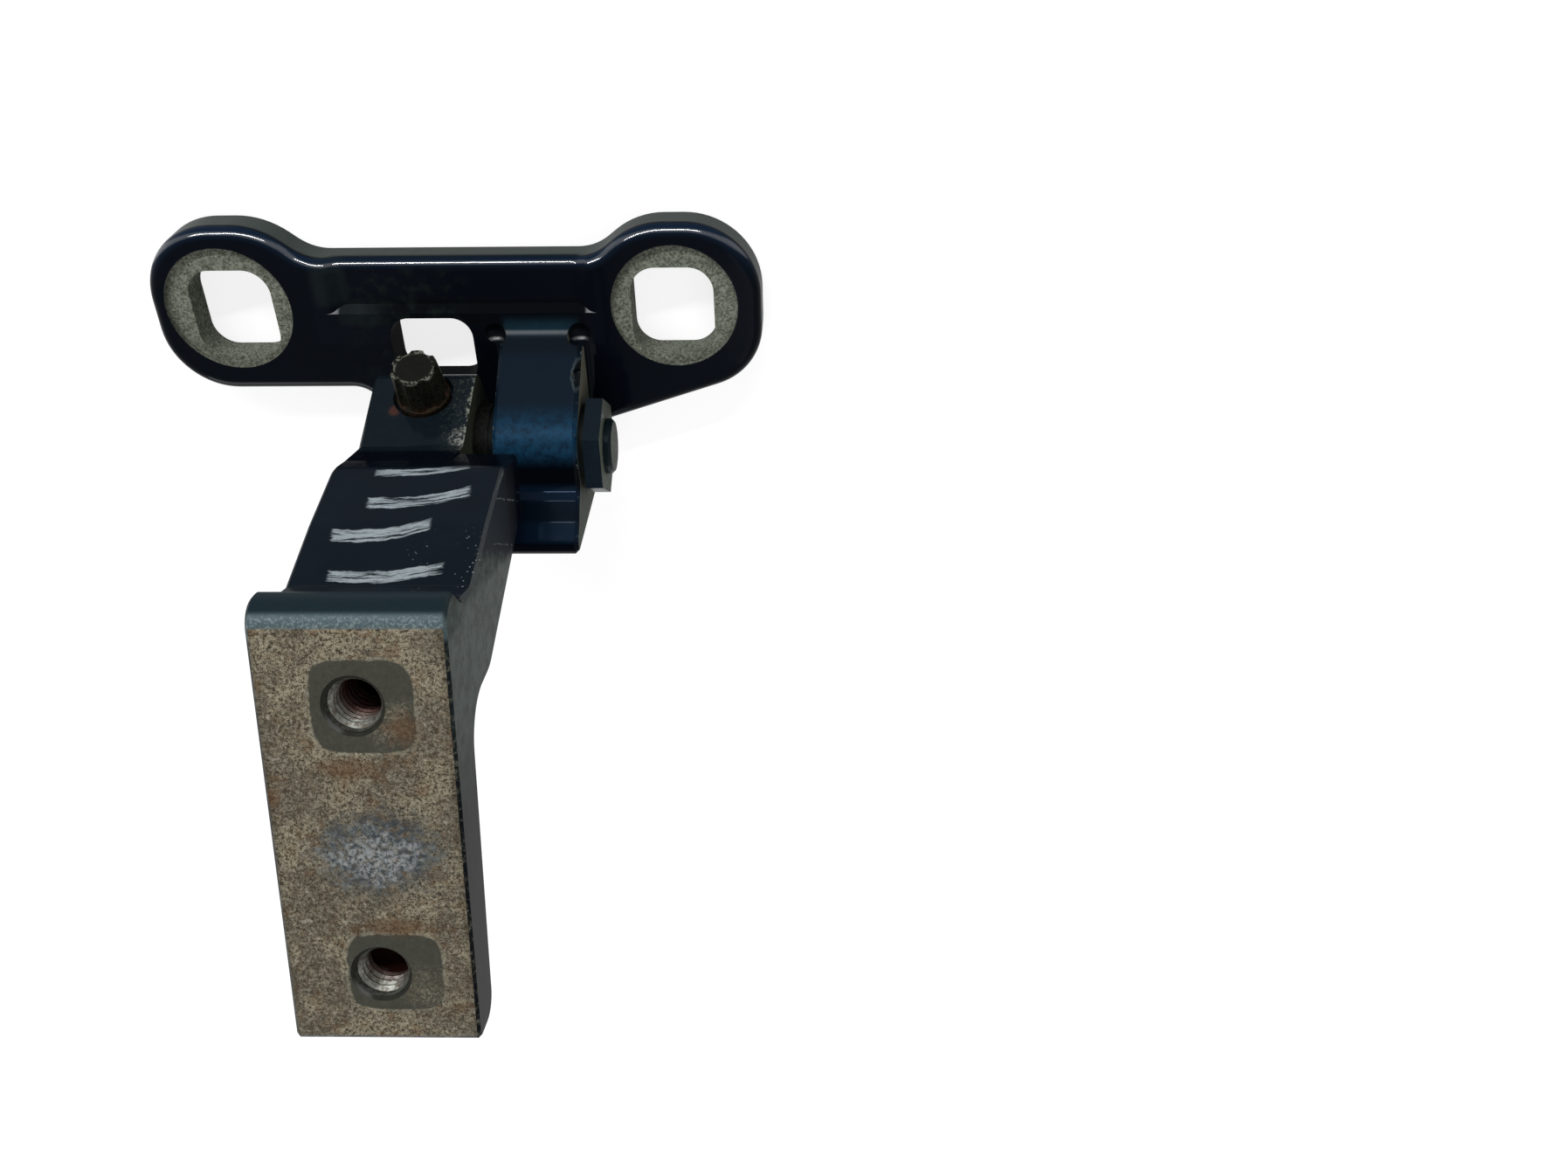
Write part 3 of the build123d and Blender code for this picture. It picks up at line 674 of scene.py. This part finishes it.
def neck_skin():
    """Wall that closes the upper tap's end at the back of the neck, flush with the arm."""
    first_p, last_p, steps = 47.6, 53.8, 8
    half_width, thick, sunk = 3.4, 0.5, 0.03
    turn = math.radians(OPEN_DEG)
    out = Vector((0, math.sin(turn), math.cos(turn)))
    down = Vector((0, -math.cos(turn), math.sin(turn)))
    built = bmesh.new()
    rings = []
    for i in range(steps + 1):
        p = first_p + (last_p - first_p) * i / steps
        q = BACK_Q + BACK_SLOPE * (p - BACK_P) + ROOT_BEND * max(0.0, p - ROOT_P) ** 2 - sunk
        corners = ((-half_width, q), (half_width, q), (half_width, q - thick), (-half_width, q - thick))
        ring = []
        for across, deep in corners:
            spot = Vector((PAD_MID_X + across, PIN_Y, PIN_Z)) + p * out + deep * down
            ring.append(built.verts.new(spot * MM))
        rings.append(ring)
    for a, b in zip(rings, rings[1:]):
        for k in range(4):
            built.faces.new((a[k], a[(k + 1) % 4], b[(k + 1) % 4], b[k]))
    built.faces.new(rings[0])
    built.faces.new(rings[-1])
    bmesh.ops.recalc_face_normals(built, faces=built.faces)
    mesh = bpy.data.meshes.new("neck_back_skin")
    built.to_mesh(mesh)
    built.free()
    piece = bpy.data.objects.new("neck_back_skin", mesh)
    bpy.context.scene.collection.objects.link(piece)
    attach(piece, "door_side")
    m = Look("neck_back_look", 0.47, metallic=0.04, specular=0.03)
    body = m.mix(m.times(m.noise(3.0, 4), 0.6), NAVY, NAVY_LIGHT)
    body = m.mix(0.77, body, m.mix(m.noise(0.5, 5), shade(14, 18, 20), shade(34, 40, 40)))
    m.bump(m.noise(0.15, 4), 0.05)
    mesh.materials.append(m.finish(body))


neck_skin()


def white_floor():
    """Pale studio floor just behind the mounting face; white to the eye, with the shadow kept."""
    size = 4.0
    built = bmesh.new()
    bmesh.ops.create_grid(built, x_segments=2, y_segments=2, size=size)
    mesh = bpy.data.meshes.new("floor")
    built.to_mesh(mesh)
    built.free()
    floor = bpy.data.objects.new("floor", mesh)
    floor.location = (0, 0, -0.0006)
    bpy.context.scene.collection.objects.link(floor)
    mat = bpy.data.materials.new("floor_white")
    mat.use_nodes = True
    tree = mat.node_tree
    tree.nodes.clear()
    out = tree.nodes.new("ShaderNodeOutputMaterial")
    matt = tree.nodes.new("ShaderNodeBsdfDiffuse")
    matt.inputs["Color"].default_value = (0.6, 0.6, 0.6, 1)
    glow = tree.nodes.new("ShaderNodeEmission")
    glow.inputs["Color"].default_value = (1, 1, 1, 1)
    glow.inputs["Strength"].default_value = 0.8
    part = tree.nodes.new("ShaderNodeBsdfDiffuse")
    part.inputs["Color"].default_value = (0.32, 0.32, 0.32, 1)
    both = tree.nodes.new("ShaderNodeAddShader")
    tree.links.new(glow.outputs[0], both.inputs[0])
    tree.links.new(part.outputs[0], both.inputs[1])
    pick = tree.nodes.new("ShaderNodeMixShader")
    tree.links.new(seen_share(tree), pick.inputs[0])
    tree.links.new(matt.outputs[0], pick.inputs[1])
    tree.links.new(both.outputs[0], pick.inputs[2])
    tree.links.new(pick.outputs[0], out.inputs[0])
    mesh.materials.append(mat)


def seen_share(tree):
    """1 for rays from the eye, also by way of a reflection or through glass."""
    path = tree.nodes.new("ShaderNodeLightPath")
    first = tree.nodes.new("ShaderNodeMath")
    first.operation = "MAXIMUM"
    tree.links.new(path.outputs["Is Camera Ray"], first.inputs[0])
    tree.links.new(path.outputs["Is Glossy Ray"], first.inputs[1])
    second = tree.nodes.new("ShaderNodeMath")
    second.operation = "MAXIMUM"
    tree.links.new(first.outputs[0], second.inputs[0])
    tree.links.new(path.outputs["Is Transmission Ray"], second.inputs[1])
    return second.outputs[0]


def studio():
    """Soft light from above the plate's top edge, two weak fills and a white surround."""
    world = bpy.data.worlds.new("studio")
    bpy.context.scene.world = world
    world.use_nodes = True
    tree = world.node_tree
    tree.nodes.clear()
    out = tree.nodes.new("ShaderNodeOutputWorld")
    dim = tree.nodes.new("ShaderNodeBackground")
    dim.inputs["Strength"].default_value = 0.35
    white = tree.nodes.new("ShaderNodeBackground")
    white.inputs["Color"].default_value = (1, 1, 1, 1)
    white.inputs["Strength"].default_value = 1.0
    pick = tree.nodes.new("ShaderNodeMixShader")
    tree.links.new(seen_share(tree), pick.inputs[0])
    tree.links.new(dim.outputs[0], pick.inputs[1])
    tree.links.new(white.outputs[0], pick.inputs[2])
    tree.links.new(pick.outputs[0], out.inputs[0])
    for name, spot, power, wide, high in (
        ("key", (-0.25, 0.9, 0.6), 10.5, 1.15, 0.024),
        ("fill", (0.45, -0.4, 0.95), 2.5, 0.8, 0.8),
        ("under", (-0.3, -0.85, 0.3), 5.0, 0.7, 0.4),
    ):
        lamp = bpy.data.lights.new(name, "AREA")
        lamp.shape = "RECTANGLE"
        lamp.energy = power
        lamp.size = wide
        lamp.size_y = high
        held = bpy.data.objects.new(name, lamp)
        held.location = spot
        aim = Vector((0, -0.02, 0.04)) - Vector(spot)
        held.rotation_euler = aim.to_track_quat("-Z", "Y").to_euler()
        bpy.context.scene.collection.objects.link(held)


def camera():
    """The photograph's view: from above the plate, looking down the arm."""
    data = bpy.data.cameras.new("view")
    data.sensor_width = 36.0
    data.lens = 30.84
    data.clip_start = 0.01
    right = Vector((0.99971, -0.01463, -0.01893))
    up = Vector((0.00123, 0.82171, -0.56990))
    held = bpy.data.objects.new("view", data)
    turned = Matrix((right, up, right.cross(up))).transposed().to_4x4()
    held.matrix_world = Matrix.Translation(Vector((65.13, 94.69, 231.22)) * MM) @ turned
    bpy.context.scene.collection.objects.link(held)
    bpy.context.scene.camera = held


white_floor()
studio()
camera()
bpy.context.scene.view_settings.view_transform = "Standard"
